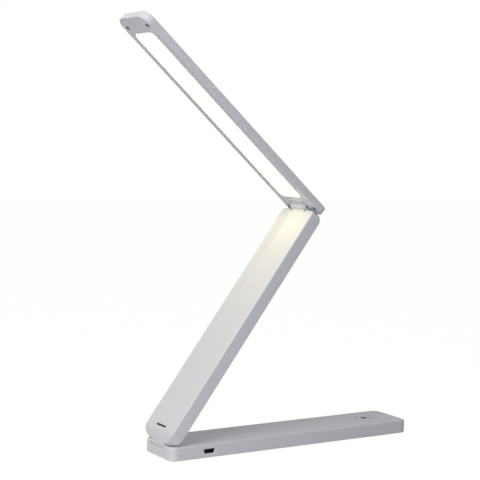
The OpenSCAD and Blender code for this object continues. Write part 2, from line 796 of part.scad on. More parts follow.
module head_form() {
    intersection() {
        translate([0, 0, head_z0]) linear_extrude(head_t)
            soft_rect([head_x0, -half_w], [head_x1, half_w],
                      [head_hinge_r, head_far_r, head_far_r, head_hinge_r]);
        along_y(-half_w - 1, half_w + 1)
            soft_rect([head_x0, head_z0], [head_x1, head_z1], [edge_r, edge_r, rim_r / 2, rim_r / 2]);
        along_x(head_x0 - 1, head_x1 + 1)
            soft_rect([-half_w, head_z0], [half_w, head_z1], [edge_r, edge_r, rim_r / 2, rim_r / 2]);
    }
}

module head_room_plan(gap) {
    soft_rect([head_x0 + head_wall + gap, -head_in_y + gap],
              [head_x1 - head_wall - gap, head_in_y - gap],
              [for (r = [head_hinge_r, head_far_r, head_far_r, head_hinge_r]) r - head_wall - gap]);
}

module at_head_screws() {
    both_sides() {
        translate([-near_screw_x, near_screw_y, 0]) children();
        translate([head_x1 - far_screw_x, far_screw_y, 0]) children();
    }
}

// What the arm's upper tongue sweeps in the head, up to the widest opening
module tongue_sweep() {
    rod(0, 0, up_notch_r, -notch_y, notch_y);
    along_y(-notch_y, notch_y) rotate(flank_turn) translate([0, -3 * up_notch_r])
        square([up_notch_r, 3 * up_notch_r]);
}

module head_shell() {
    color("gainsboro") head_frame() difference() {
        union() {
            difference() {
                head_form();
                translate([0, 0, head_in_z0]) linear_extrude(head_t) head_room_plan(0);
            }
            block([head_x0 + head_wall - eps, -up_housing_y, head_in_z0 - eps],
                  [up_housing_x1, up_housing_y, head_z1]);
            at_head_screws() translate([0, 0, head_in_z0 - eps])
                cylinder(h = head_in_z1 - head_in_z0 + eps, r = screw_r + boss_wall);
            both_sides() translate([up_bracket_screw[0], up_bracket_screw[1], head_in_z0 - eps])
                cylinder(h = up_plate_z - up_steel_t - head_in_z0 + eps, r = up_screw_head_r);
        }
        tongue_sweep();
        bracket_slots(up_plate_x0 + 1, up_plate_z - up_steel_t - 0.2, up_web_z + 0.2);
        at_head_screws() translate([0, 0, head_in_z0 - 0.4])
            pilot(head_in_z1 - head_in_z0 + 0.5);
        both_sides() translate([up_bracket_screw[0], up_bracket_screw[1], head_in_z0 - 0.6])
            pilot(up_plate_z - up_steel_t - head_in_z0 + 0.7);
    }
}

module head_bezel() {
    color("gainsboro") head_frame() difference() {
        translate([0, 0, head_in_z1]) linear_extrude(bezel_t) head_room_plan(panel_gap);
        translate([0, 0, head_in_z1 - 1]) linear_extrude(bezel_t + 2)
            soft_rect([window_near, -window_w / 2], [window_far, window_w / 2],
                      [window_r, window_r, window_r, window_r]);
        block([head_x0 - 1, -up_housing_y - panel_gap, head_in_z1 - 1],
              [up_housing_x1 + panel_gap, up_housing_y + panel_gap, head_z1 + 1]);
        at_head_screws() translate([0, 0, head_z1]) mirror([0, 0, 1]) head_seat(bezel_t);
    }
}

module head_screws() {
    color("dimgray") head_frame() at_head_screws()
        translate([0, 0, head_z1 - screw_head_h - 0.1]) mirror([0, 0, 1])
            screw(head_in_z1 - head_in_z0 + bezel_t - screw_head_h);
}

// A sheet of the light panel, inside the room behind the bezel
module panel_sheet(z0, z1) {
    block([panel_x0, -panel_y, z0], [panel_x1, panel_y, z1]);
}

module diffuser() {
    color("white") head_frame() panel_sheet(head_in_z1 - diffuser_t, head_in_z1);
}

module light_guide() {
    color("lightcyan") head_frame()
        panel_sheet(head_in_z0 + reflector_t, head_in_z1 - diffuser_t);
}

module reflector_sheet() {
    color("white") head_frame() panel_sheet(head_in_z0, head_in_z0 + reflector_t);
}

module led_boards() {
    color("white") head_frame() both_sides()
        block([panel_x0 + 1, panel_y + led_d, head_in_z0],
              [panel_x1 - 1, panel_y + led_d + led_board_t, head_in_z1 - 0.4]);
}

module leds() {
    pitch = (panel_x1 - panel_x0 - 4 - led_len) / (led_count - 1);
    color("lemonchiffon") head_frame() both_sides() for (i = [0 : led_count - 1])
        block([panel_x0 + 2 + i * pitch, panel_y, head_in_z0 + 0.5],
              [panel_x0 + 2 + i * pitch + led_len, panel_y + led_d, head_in_z1 - 1]);
}

// Leads from the hinge to the two LED boards
module head_leads() {
    lead_x = panel_x0 - head_lead_run;
    lead_y = panel_y + led_d;
    color("red") head_frame() both_sides() {
        block([lead_x, up_housing_y, head_in_z0], [lead_x + lead_w, lead_y + lead_t, head_in_z0 + lead_t]);
        block([lead_x + lead_w, lead_y, head_in_z0], [panel_x0 + 1, lead_y + lead_t, head_in_z0 + lead_t]);
    }
}

module upper_bracket() {
    color("lightsteelblue") head_frame()
        bracket(up_ear_r, up_pin_r, 1.6, up_web_z, up_plate_x0, up_plate_x1, up_plate_z,
                up_steel_t, up_bracket_screw[1] + 1.8, up_bracket_screw);
}

module upper_bracket_screws() {
    color("dimgray") head_frame() both_sides()
        translate([up_bracket_screw[0], up_bracket_screw[1], up_plate_z]) mirror([0, 0, 1])
            screw(up_plate_z - head_in_z0 + 0.4, up_screw_head_r);
}

module upper_washers() {
    color("white") head_frame() washers(up_washer_r, up_pin_r);
}

base_shell();
base_cover();
base_screws();
rubber_foot();
ballast_plate();
battery_cell();
battery_pad();
control_board();
board_components();
board_screws();
usb_socket();
usb_contact_block();
touch_sensor();
touch_lens();
base_leads();
lower_bracket();
lower_bracket_screws();
lower_washers();
arm_shell();
arm_cover();
arm_screws();
lower_leaf();
lower_leaf_screws();
lower_hinge_pin();
upper_leaf();
upper_leaf_screws();
upper_hinge_pin();
arm_leads();
lower_slot_insert();
upper_slot_insert();
head_shell();
head_bezel();
head_screws();
diffuser();
light_guide();
reflector_sheet();
led_boards();
leds();
head_leads();
upper_bracket();
upper_bracket_screws();
upper_washers();
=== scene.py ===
# A folding desk lamp: a weighted base, an arm and a thin lit head, three flat bars of moulded white
# plastic that fold onto each other. Sections follow the order in which the lamp is put together.
import json
import math

import bmesh
import bpy
from mathutils import Matrix, Vector


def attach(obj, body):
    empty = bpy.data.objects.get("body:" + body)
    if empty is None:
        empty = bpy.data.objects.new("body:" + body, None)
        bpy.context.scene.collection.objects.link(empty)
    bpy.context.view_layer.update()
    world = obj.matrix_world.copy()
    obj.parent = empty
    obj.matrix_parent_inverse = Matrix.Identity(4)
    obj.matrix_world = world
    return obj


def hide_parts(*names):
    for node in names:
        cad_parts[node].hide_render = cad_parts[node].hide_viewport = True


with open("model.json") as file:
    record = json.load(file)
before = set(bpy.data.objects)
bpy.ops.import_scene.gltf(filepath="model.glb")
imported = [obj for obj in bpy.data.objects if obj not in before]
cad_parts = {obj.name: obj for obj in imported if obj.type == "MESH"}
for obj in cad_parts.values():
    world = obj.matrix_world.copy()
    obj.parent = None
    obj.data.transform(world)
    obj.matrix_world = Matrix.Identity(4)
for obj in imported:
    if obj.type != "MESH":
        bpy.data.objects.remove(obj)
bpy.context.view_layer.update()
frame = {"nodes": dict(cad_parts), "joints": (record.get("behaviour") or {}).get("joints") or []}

# ---- Camera ----
# A long lens stands in front of the lamp, to the left of its hinge end and a little above the desk.
scene = bpy.context.scene
scene.view_settings.view_transform = "Standard"
camera = bpy.data.objects.new("camera", bpy.data.cameras.new("camera"))
scene.collection.objects.link(camera)
scene.camera = camera
camera.data.sensor_width = 36
camera.data.lens = 97.41
CAMERA_PLACE = Vector((-0.5047, -0.7555, 0.2165))
CAMERA_AZIMUTH = -0.55369
CAMERA_ELEVATION = 0.08094
CAMERA_ROLL = 0.02221
away = Vector((math.sin(CAMERA_AZIMUTH) * math.cos(CAMERA_ELEVATION),
               -math.cos(CAMERA_AZIMUTH) * math.cos(CAMERA_ELEVATION),
               math.sin(CAMERA_ELEVATION)))
level = Vector((0, 0, 1)).cross(away).normalized()
upright = away.cross(level)
right = level * math.cos(CAMERA_ROLL) + upright * math.sin(CAMERA_ROLL)
above = upright * math.cos(CAMERA_ROLL) - level * math.sin(CAMERA_ROLL)
turn = Matrix((right, above, away)).transposed().to_4x4()
camera.matrix_world = Matrix.Translation(CAMERA_PLACE) @ turn

# ---- Studio ----
# A white desk and white surroundings, lit by soft boxes: a strong one high on the left gives the
# bright left faces, a large weak one in front and a small low one fill the long sides.
def linear(hex_colour):
    """An sRGB hex colour as the linear values that a shader takes."""
    parts = [int(hex_colour[i:i + 2], 16) / 255 for i in (1, 3, 5)]
    return [c / 12.92 if c < 0.04045 else ((c + 0.055) / 1.055) ** 2.4 for c in parts] + [1]


def add(tree, kind, settings=None, links=None, **inputs):
    """A shader node with its settings, its input values and the links into its inputs."""
    made = tree.nodes.new(kind)
    for key, value in (settings or {}).items():
        setattr(made, key, value)
    for key, value in inputs.items():
        made.inputs[key.replace("_", " ")].default_value = value
    for key, source in (links or {}).items():
        tree.links.new(source, made.inputs[key])
    return made


world = bpy.data.worlds.new("white_surroundings")
scene.world = world
world.use_nodes = True
world.node_tree.nodes.clear()
rays = add(world.node_tree, "ShaderNodeLightPath")
seen = add(world.node_tree, "ShaderNodeMath", {"operation": "MAXIMUM"},
           {0: rays.outputs["Is Camera Ray"], 1: rays.outputs["Is Transmission Ray"]})
seen = add(world.node_tree, "ShaderNodeMath", {"operation": "MAXIMUM"},
           {0: seen.outputs[0], 1: rays.outputs["Is Glossy Ray"]})
ambient = add(world.node_tree, "ShaderNodeBackground", Color=linear("#eef1f8"), Strength=0.22)
backdrop = add(world.node_tree, "ShaderNodeBackground", Color=linear("#ffffff"), Strength=1.0)
shown = add(world.node_tree, "ShaderNodeMixShader",
            links={0: seen.outputs[0], 1: ambient.outputs[0], 2: backdrop.outputs[0]})
add(world.node_tree, "ShaderNodeOutputWorld", links={"Surface": shown.outputs[0]})


def soft_box(name, place, target, width, height, watts, colour):
    """A rectangular studio lamp that faces a point."""
    lamp = bpy.data.objects.new(name, bpy.data.lights.new(name, "AREA"))
    scene.collection.objects.link(lamp)
    lamp.data.shape = "RECTANGLE"
    lamp.data.size = width
    lamp.data.size_y = height
    lamp.data.energy = watts
    lamp.data.color = linear(colour)[:3]
    lamp.location = place
    lamp.rotation_euler = (Vector(target) - Vector(place)).to_track_quat("-Z", "Y").to_euler()


soft_box("left_box", (-0.6, -0.2, 0.6), (-0.05, 0, 0.1), 0.5, 0.5, 3.0, "#ffffff")
soft_box("front_box", (-0.7, -1.3, 0.35), (-0.03, 0, 0.08), 0.9, 0.9, 0.78, "#f6f8ff")
soft_box("low_box", (-0.42, -0.5, 0.06), (-0.06, 0, 0.05), 0.25, 0.2, 0.78, "#f2f6ff")

bpy.ops.mesh.primitive_plane_add(size=6)
floor = bpy.context.object
floor.name = "floor"
paper = bpy.data.materials.new("matt_white_paper")
paper.use_nodes = True
paper.node_tree.nodes.clear()
rays = add(paper.node_tree, "ShaderNodeLightPath")
matt = add(paper.node_tree, "ShaderNodeBsdfDiffuse", Color=linear("#e4e4e4"))
glow = add(paper.node_tree, "ShaderNodeEmission", Color=linear("#ffffff"), Strength=1.045)
SHADOW_SHARE = 0.06
mostly = add(paper.node_tree, "ShaderNodeMath", {"operation": "MULTIPLY"},
             {0: rays.outputs["Is Camera Ray"]})
mostly.inputs[1].default_value = 1 - SHADOW_SHARE
mixed = add(paper.node_tree, "ShaderNodeMixShader",
            links={0: mostly.outputs[0], 1: matt.outputs[0], 2: glow.outputs[0]})
add(paper.node_tree, "ShaderNodeOutputMaterial", links={"Surface": mixed.outputs[0]})
floor.data.materials.append(paper)

# ---- Base: the housing ----
# An upside-down tray of injection-moulded white ABS that holds the battery and the board. The arm's
# foot turns in a round notch at its hinge end, and the charging port opens through its long side.
# All meshes are drawn in millimetres, in their own bar's frame.
MM = 0.001
in_base = Matrix.Scale(MM, 4)
BAR_Y = 19
WALL = 1.5
COVER = 1.5
COVER_GAP = 0.15
BASE_X = 99
BASE_CORNERS = (5.4, 5.8)
BASE_LOW, BASE_HIGH = 0.5, 9.7
BASE_ROOF = 8.3
LOW_AXIS = Vector((-92.8, 0, 9.9))
NOTCH_Y = 9.3
LOW_NOTCH_R = 6.5
EARS_Y = (-9.0, 7.8)
EAR = 1.2
EAR_GAP = 0.1
PORT = Vector((-69.6, 0, 3.5))
END_WALL = 7.4
KEY = (74, 1.2)
BASE_SCREWS = [(x, y) for x in (-92.5, 92.5) for y in (-14.3, 14.3)]
BOSS_R = 2.1
SEAT_R = 1.7
SEAT = 0.9
SHANK_HOLE_R = 1.0


def outline(x0, x1, y1, radii, steps=14, inset=0.0):
    """A bar's plan: a rectangle with a corner radius at x0 and another at x1, moved inwards."""
    points = []
    for x, y, start in ((x1, -1, -90), (x1, 1, 0), (x0, 1, 90), (x0, -1, 180)):
        radius = radii[0] if x == x0 else radii[1]
        centre = (x + (radius if x == x0 else -radius), y * (y1 - radius))
        for i in range(steps + 1):
            turn = math.radians(start + 90 * i / steps)
            points.append((centre[0] + (radius - inset) * math.cos(turn),
                           centre[1] + (radius - inset) * math.sin(turn)))
    return points


def skin(rings):
    """A closed mesh through rings of as many points each, capped at both ends."""
    bm = bmesh.new()
    loops = [[bm.verts.new(point) for point in ring] for ring in rings]
    for lower, upper in zip(loops, loops[1:]):
        for i in range(len(lower)):
            j = (i + 1) % len(lower)
            bm.faces.new((lower[i], lower[j], upper[j], upper[i]))
    bm.faces.new(list(reversed(loops[0])))
    bm.faces.new(loops[-1])
    bmesh.ops.recalc_face_normals(bm, faces=bm.faces)
    return bm


def plate(x0, x1, y1, radii, z0, z1, low_rim=0.0, high_rim=0.0):
    """A flat bar whose upper and lower rims are rounded all the way round."""
    rings = []
    for rim, z, way in ((low_rim, z0, 1), (high_rim, z1, -1)):
        steps = 6 if rim else 0
        ring = [(rim * (1 - math.sin(math.radians(15 * i))),
                 z + way * rim * (1 - math.cos(math.radians(15 * i)))) for i in range(steps + 1)]
        rings += ring if way > 0 else ring[::-1]
    return skin([[(x, y, z) for x, y in outline(x0, x1, y1, radii, inset=inset)]
                 for inset, z in rings])


def prism(points, y0, y1):
    """A side view in x and z, given the width between y0 and y1."""
    return skin([[(x, y, z) for x, z in points] for y in (y0, y1)])


def block(low, high):
    """A block between two corners."""
    return prism([(low[0], low[2]), (high[0], low[2]), (high[0], high[2]), (low[0], high[2])],
                 low[1], high[1])


def arc(x, z, radius, start, end, steps=40):
    """Points of a side view on an arc round a centre, between two angles in degrees."""
    turns = [math.radians(start + (end - start) * i / steps) for i in range(steps + 1)]
    return [(x + radius * math.cos(turn), z + radius * math.sin(turn)) for turn in turns]


def turned(profile, x=0.0, y=0.0, steps=40):
    """A turned part on an upright axis, from (radius, height) pairs from its foot to its top."""
    return skin([[(x + radius * math.cos(2 * math.pi * i / steps),
                   y + radius * math.sin(2 * math.pi * i / steps), z) for i in range(steps)]
                 for radius, z in profile])


def softened(points, radii, steps=6):
    """A closed side view with its corners rounded, each by a radius of its own."""
    made = []
    for i, radius in enumerate(radii):
        corner = Vector(points[i])
        back = (Vector(points[i - 1]) - corner).normalized()
        ahead = (Vector(points[(i + 1) % len(points)]) - corner).normalized()
        half = back.angle(ahead) / 2
        centre = corner + (back + ahead).normalized() * radius / math.sin(half)
        spoke = corner + back * radius / math.tan(half) - centre
        last = corner + ahead * radius / math.tan(half) - centre
        sweep = math.atan2(spoke.x * last.y - spoke.y * last.x, spoke.dot(last))
        made += [tuple(centre + Matrix.Rotation(sweep * k / steps, 2) @ spoke)
                 for k in range(steps + 1)]
    return made


def piece(name, bm):
    """A new object from a mesh, still in its bar's own frame and in millimetres."""
    mesh = bpy.data.meshes.new(name)
    bm.to_mesh(mesh)
    bm.free()
    made = bpy.data.objects.new(name, mesh)
    scene.collection.objects.link(made)
    return made


def settle(made):
    """Applies an object's modifiers."""
    graph = bpy.context.evaluated_depsgraph_get()
    made.data = bpy.data.meshes.new_from_object(made.evaluated_get(graph))
    made.modifiers.clear()


def mould(made, **changes):
    """Cuts meshes from an object (cut=[...]) and then adds meshes to it (add=[...])."""
    for name, shapes in changes.items():
        for bm in shapes:
            tool = piece("tool", bm)
            change = made.modifiers.new("change", "BOOLEAN")
            change.operation = "UNION" if name.startswith("add") else "DIFFERENCE"
            change.solver = "EXACT"
            change.object = tool
            settle(made)
            bpy.data.objects.remove(tool)


def ease(made, width, segments=2):
    """Rounds the edges that cutting left sharp, and shades the object as one smooth moulding."""
    if width:
        bevel = made.modifiers.new("ease", "BEVEL")
        bevel.width = width
        bevel.segments = segments
        bevel.limit_method = "ANGLE"
        bevel.angle_limit = math.radians(35)
        bevel.harden_normals = False
        settle(made)
    made.data.shade_smooth()
    normals = made.modifiers.new("normals", "WEIGHTED_NORMAL")
    normals.keep_sharp = True


def fit(made, place, body, material, slot, *nodes):
    """Puts an object in its place on a body of the lamp, for the nodes that it stands for."""
    made.data.transform(place)
    made.data.materials.clear()
    made.data.materials.append(material)
    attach(made, body)
    if nodes:
        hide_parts(*nodes)


def port_plan(grow):
    """The port's outline in x and z: wider at its top, with rounded lower corners."""
    low, high = 3.25 + grow, 4.35 + grow
    points = [(-low, -grow), (low, -grow), (high, 2.8 + grow), (-high, 2.8 + grow)]
    radii = [max(r + grow, 0.05) for r in (0.9, 0.9, 0.35, 0.35)]
    return [(PORT.x + x, PORT.z + z) for x, z in softened(points, radii)]


def grained(name, colour, second=None, grain=0.3, rough=0.45, swing=0.06, relief=0.05, metal=0.0,
            stretch=(1, 1, 1), pattern="NOISE", turn=0.0, clear=0.0):
    """A procedural surface: a fine grain in tone, sheen and relief, over a faint broad cloud."""
    made = bpy.data.materials.new(name)
    made.use_nodes = True
    tree = made.node_tree
    tree.nodes.clear()
    place = add(tree, "ShaderNodeTexCoord").outputs["Object"]
    laid = add(tree, "ShaderNodeMapping", links={"Vector": place}, Scale=stretch,
               Rotation=(0, math.radians(turn), 0)).outputs[0]
    if pattern == "NOISE":
        fine = add(tree, "ShaderNodeTexNoise", links={"Vector": laid}, Scale=1 / (grain * MM),
                   Detail=3.0, Roughness=0.6).outputs["Fac"]
    elif pattern == "CELLS":
        fine = add(tree, "ShaderNodeTexVoronoi", links={"Vector": laid},
                   Scale=1 / (grain * MM)).outputs["Distance"]
    else:
        fine = add(tree, "ShaderNodeTexWave", {"bands_direction": "X"}, {"Vector": laid},
                   Scale=0.3 / (grain * MM), Distortion=1.5, Detail=2.0).outputs["Fac"]
    broad = add(tree, "ShaderNodeTexNoise", links={"Vector": place}, Scale=30.0, Detail=2.0)
    tone = add(tree, "ShaderNodeMix", {"data_type": "RGBA"},
               {0: fine if second else broad.outputs["Fac"]})
    tone.inputs[6].default_value = linear(second) if second else [
        0.97 * c for c in linear(colour)[:3]] + [1]
    tone.inputs[7].default_value = linear(colour)
    sheen = add(tree, "ShaderNodeMapRange", links={"Value": fine}, To_Min=rough - swing,
                To_Max=rough + swing)
    bump = add(tree, "ShaderNodeBump", links={"Height": fine}, Strength=relief, Distance=0.2 * MM)
    surface = add(tree, "ShaderNodeBsdfPrincipled", links={
        "Base Color": tone.outputs[2], "Roughness": sheen.outputs[0], "Normal": bump.outputs[0]},
        Metallic=metal)
    surface.inputs["Transmission Weight"].default_value = clear
    add(tree, "ShaderNodeOutputMaterial", links={"Surface": surface.outputs[0]})
    return made


def dress(material, *nodes):
    """Gives CAD nodes, which stay as they are, a material."""
    for node in nodes:
        frame["nodes"][node].data.materials.clear()
        frame["nodes"][node].data.materials.append(material)
        frame["nodes"][node].data.shade_flat()


# White ABS moulded against fine spark-eroded steel: an even, soft sheen. The grain only breaks up
# the highlights, and is drawn at 0.3 mm, larger than the real 0.05 mm, so that it still reads.
white_abs = grained("white_moulded_abs", "#e3e4e7")
shell = piece("base_housing", plate(-BASE_X, BASE_X, BAR_Y, BASE_CORNERS, BASE_LOW, BASE_HIGH,
                                    low_rim=0.8, high_rim=1.0))
notch = (arc(LOW_AXIS.x, LOW_AXIS.z, LOW_NOTCH_R, 180, 360, 60)
         + [(LOW_AXIS.x + LOW_NOTCH_R, 12), (LOW_AXIS.x - LOW_NOTCH_R, 12)])
mould(shell,
      cut=[plate(-BASE_X + WALL, BASE_X - WALL, BAR_Y - WALL, [r - WALL for r in BASE_CORNERS],
                 -0.5, BASE_ROOF)],
      add=[block((-98, -10.8, 2.0), (-84.8, 10.8, 8.8))],
      cut_notch=[prism(notch, -NOTCH_Y, NOTCH_Y),
                 block((-100, -NOTCH_Y, END_WALL), (LOW_AXIS.x, NOTCH_Y, 11))],
      cut_slots=[block((LOW_AXIS.x, y - EAR_GAP, 4.3), (-83.7, y + EAR + EAR_GAP, 7.8))
                 for y in EARS_Y],
      cut_port=[prism(port_plan(0.1), -19.5, -16.5),
                skin([[(x, y, z) for x, z in port_plan(grow)]
                      for y, grow in ((-18.4, 0.1), (-19.1, 0.75))])],
      cut_key=[turned([(1.65, 7.3), (1.65, 10.7)], *KEY)],
      add_bosses=[turned([(BOSS_R, BASE_LOW + COVER), (BOSS_R, 8.8)], *place)
                  for place in BASE_SCREWS])
ease(shell, 0.1)
fit(shell, in_base, "base", white_abs, "white_plastic", "base_shell")

# ---- Base: the cover ----
# A flat ABS lid closes the tray from below. Four screws sink into its corners, and the rubber foot
# lies in a shallow recess.
FOOT = (87, 12)
FOOT_CORNER = 4
FOOT_GAP = 0.1
inwards = WALL + COVER_GAP
lid = piece("base_lid", plate(-BASE_X + inwards, BASE_X - inwards, BAR_Y - inwards,
                              [r - inwards for r in BASE_CORNERS], BASE_LOW, BASE_LOW + COVER,
                              low_rim=0.2))
recess = plate(-FOOT[0] - FOOT_GAP, FOOT[0] + FOOT_GAP, FOOT[1] + FOOT_GAP,
               [FOOT_CORNER + FOOT_GAP] * 2, 0, BASE_LOW + 0.5)
mould(lid, cut=[turned([(SEAT_R, -0.5), (SEAT_R, BASE_LOW + SEAT)], *place) for place in BASE_SCREWS],
      cut_hole=[turned([(SHANK_HOLE_R, 0), (SHANK_HOLE_R, 3)], *place) for place in BASE_SCREWS],
      cut_recess=[recess])
ease(lid, 0.08)
fit(lid, in_base, "base", white_abs, "white_plastic", "base_cover")

# ---- Base: the rubber foot ----
# One long strip of soft grey silicone rubber, moulded and pressed into the lid's recess. It is dull,
# with a fine grain, and three grooves give it grip.
silicone = grained("grey_silicone_rubber", "#6c6e70", grain=0.25, rough=0.8, relief=0.25)
foot = piece("silicone_foot", plate(-FOOT[0], FOOT[0], FOOT[1], [FOOT_CORNER] * 2, 0, 1.0,
                                    low_rim=0.25))
mould(foot, cut=[block((-80, y - 0.5, -1), (80, y + 0.5, 0.25)) for y in (-6, 0, 6)])
ease(foot, 0.06)
fit(foot, in_base, "base", silicone, "grey_rubber", "rubber_foot")

# ---- Base: the lid's screws ----
# Small cross-head screws of blackened steel, cut into the bosses. They look almost black, with a
# dark gleam, and the recess is struck in with a cross punch.
blackened = grained("blackened_turned_steel", "#3a3b3e", "#232427", grain=0.2, rough=0.42, swing=0.1,
                    relief=0.15, metal=0.9)


def screws(name, node, places, length, up, body, place):
    """Alike screws in one object: each stands at a point, with its head's underside there."""
    one = piece("screw", turned(
        [(0.2, length)] + [(r, length - 0.4 - 0.35 * i) for i in range(int((length - 0.7) / 0.35))
                           for r in ((0.78,) if i % 2 else (0.64,))]
        + [(0.64, 0.12), (0.8, 0.0), (1.48, 0.0), (1.5, -0.5), (1.38, -0.72), (1.1, -0.8), (0.3, -0.8)],
        steps=32))
    mould(one, cut=[block((-0.85, -0.17, -1), (0.85, 0.17, -0.3)),
                    block((-0.17, -0.85, -1), (0.17, 0.85, -0.3))])
    ease(one, 0.03, 1)
    joined = bmesh.new()
    for x, y, z in places:
        mesh = one.data.copy()
        flip = Matrix.Identity(4) if up > 0 else Matrix.Rotation(math.pi, 4, "X")
        mesh.transform(Matrix.Translation((x, y, z)) @ flip @ Matrix.Rotation(0.4 * x, 4, "Z"))
        joined.from_mesh(mesh)
        bpy.data.meshes.remove(mesh)
    bpy.data.objects.remove(one)
    made = piece(name, joined)
    ease(made, 0)
    fit(made, place, body, blackened, "dark_steel", node)


screws("lid_screws", "base_screws", [(x, y, BASE_LOW + SEAT) for x, y in BASE_SCREWS], 6.2, 1,
       "base", in_base)

# ---- Base: ballast and battery ----
# A zinc-plated steel plate near the key end keeps the lamp from tipping; it is grey, with a satin
# gleam and a faint grain from rolling. The battery is a pouch cell in crinkled foil, stuck to the
# lid with a dull yellowish foam tape.
zinc = grained("zinc_plated_sheet", "#b9bcc0", "#a4a8ae", grain=0.4, rough=0.35, swing=0.08,
               relief=0.1, metal=1.0, stretch=(0.1, 1, 1))
foil = grained("crinkled_pouch_foil", "#c6c8cb", "#b2b5b9", grain=2.5, rough=0.3, swing=0.1,
               relief=0.5, metal=0.9, pattern="CELLS")
foam = grained("acrylic_foam_tape", "#d9cfa4", "#c9be90", grain=0.5, rough=0.9, relief=0.4,
               pattern="CELLS")
dress(zinc, "ballast_plate")
dress(foil, "battery_cell")
dress(foam, "battery_pad")

# ---- Base: the control board ----
# Glass-epoxy laminate under a green solder mask, in which the weave and the copper show as a faint
# cross grain. Chips, coil and plugs are moulded in black epoxy. Three screws hold the board.
mask = grained("green_solder_mask", "#15573a", "#0e4229", grain=0.6, rough=0.35, relief=0.15,
               stretch=(1, 0.3, 1), pattern="BANDS")
epoxy = grained("black_moulded_epoxy", "#1c1d1f", "#141516", grain=0.15, rough=0.55, relief=0.15)
dress(mask, "control_board", "touch_sensor")
dress(epoxy, "board_components")
dress(blackened, "board_screws")

# ---- Base: the charging port ----
# A folded sleeve of tinned sheet steel behind the opening, its colour darkened as painted shade, with
# a tongue of glass-filled black nylon in it, which has five grooves for its contacts.
# Painted shade: the sleeve's dark greys stand for the shade inside the opening; bare tinned steel is
# far lighter.
tin_darkened_for_shade = grained("tinned_steel_painted_shade", "#4a4c50", "#3a3c40", grain=0.3, rough=0.4, swing=0.1, relief=0.1,
              metal=0.9)
contact_black = grained("glass_filled_nylon", "#0d0d0e", "#161617", grain=0.2, rough=0.7, relief=0.15)
sleeve = piece("port_sleeve", prism(port_plan(0), -18.5, -13.4))
mould(sleeve, cut=[prism(port_plan(-0.3), -19, -13.7)])
ease(sleeve, 0.05)
fit(sleeve, in_base, "base", tin_darkened_for_shade, "plated_steel", "usb_socket")
contacts = piece("port_contacts", block((PORT.x - 2.4, -17.6, 4.7), (PORT.x + 2.4, -13.7, 5.4)))
mould(contacts, cut=[block((PORT.x + x - 0.2, -18, 4.6), (PORT.x + x + 0.2, -14.2, 4.78))
                     for x in (-1.6, -0.8, 0, 0.8, 1.6)])
ease(contacts, 0.05)
fit(contacts, in_base, "base", contact_black, "black_plastic", "usb_contact_block")

# ---- Base: the touch key ----
# A moulded lens of smoked polycarbonate, nearly black, stands over the sensor board; its flat rim
# covers the edge of its hole. Two short grey arcs are pad-printed beside it.
smoked = grained("smoked_polycarbonate", "#0b0b0c", "#111113", grain=0.4, rough=0.7, swing=0.04,
                 relief=0.04)
print_grey = grained("pad_printed_grey", "#b4b6b9", "#adafb3", grain=0.2, rough=0.6, relief=0.1)
LENS_R, LENS_RIM_R = 1.6, 2.5
lens = piece("key_lens", turned([(LENS_R, BASE_ROOF), (LENS_R, 9.62), (LENS_RIM_R, 9.64),
                                 (2.45, 9.72), (1.2, 9.75), (0.3, 9.75)], *KEY))
ease(lens, 0)
fit(lens, in_base, "base", smoked, "dark_lens", "touch_lens")
ARC_INNER, ARC_OUTER, ARC_SPAN = 4.2, 6.6, 36
for side, start in (("left", 130), ("right", -50)):
    path = (arc(0, 0, ARC_INNER, start, start + ARC_SPAN, 12)
            + arc(0, 0, ARC_OUTER, start + ARC_SPAN, start, 12))
    mark = piece("key_ring_" + side, skin([[(KEY[0] + x, KEY[1] + y, z) for x, y in path]
                                          for z in (9.66, 9.72)]))
    ease(mark, 0)
    fit(mark, in_base, "base", print_grey, "dark_lens")

# ---- Base: the bracket of the lower hinge ----
# Pressed steel sheet, lacquered white like the housings: two round ears stand on both sides of the
# arm's barrel, and their plate is screwed under the broad face. Inside the ears lie turned washers
# of nylon, milky to the eye.
lacquer = grained("white_lacquered_steel", "#e0e1e4", grain=0.8, rough=0.38, relief=0.12)
nylon = grained("turned_natural_nylon", "#dcdcda", "#d2d2cf", grain=0.3, rough=0.5, relief=0.1)
LOW_EAR_R = 6.1
LOW_PIN_HOLE_R = 1.55
LEAF_HOLE_R = 0.9


def bracket(name, node, ear_r, pin_r, web, sheet, wide, holes, body, place):
    """Two ears with webs in x and z, on a plate from corner to corner with two screw holes."""
    made = piece(name, block((sheet[0], -wide, sheet[2]), (sheet[1], wide, sheet[3])))
    for y in EARS_Y:
        mould(made, add=[block((web[0], y, web[1]), (sheet[0] + 0.2, y + EAR, web[2])),
                         prism(arc(0, 0, ear_r, 0, 360, 72)[:-1], y, y + EAR)])
    mould(made, cut=[prism(arc(0, 0, pin_r, 0, 360, 32)[:-1], -10, 10)]
          + [turned([(LEAF_HOLE_R, -7), (LEAF_HOLE_R, 0)], holes[0], y)
             for y in (-holes[1], holes[1])])
    ease(made, 0.12)
    fit(made, place, body, lacquer, "white_steel", node)


bracket("lower_ears", "lower_bracket", LOW_EAR_R, LOW_PIN_HOLE_R, (1.2, -5.4, -2.3),
        (8.1, 15.1, -5.4, -4.2), 9.0, (12.0, 3), "base", Matrix.Translation(LOW_AXIS * MM) @ in_base)
dress(nylon, "lower_washers")
dress(blackened, "lower_bracket_screws")

# ---- Base: the leads ----
# Flat tinned strands in a drawn sleeve of red silicone, laid along each tray and soldered to the
# boards. The sleeve is half dull, with faint bands across.
sleeve_red = grained("red_silicone_sleeve", "#a3211d", "#8c1815", grain=0.5, rough=0.55, relief=0.3,
                     pattern="BANDS")
dress(sleeve_red, "base_leads", "arm_leads", "head_leads")

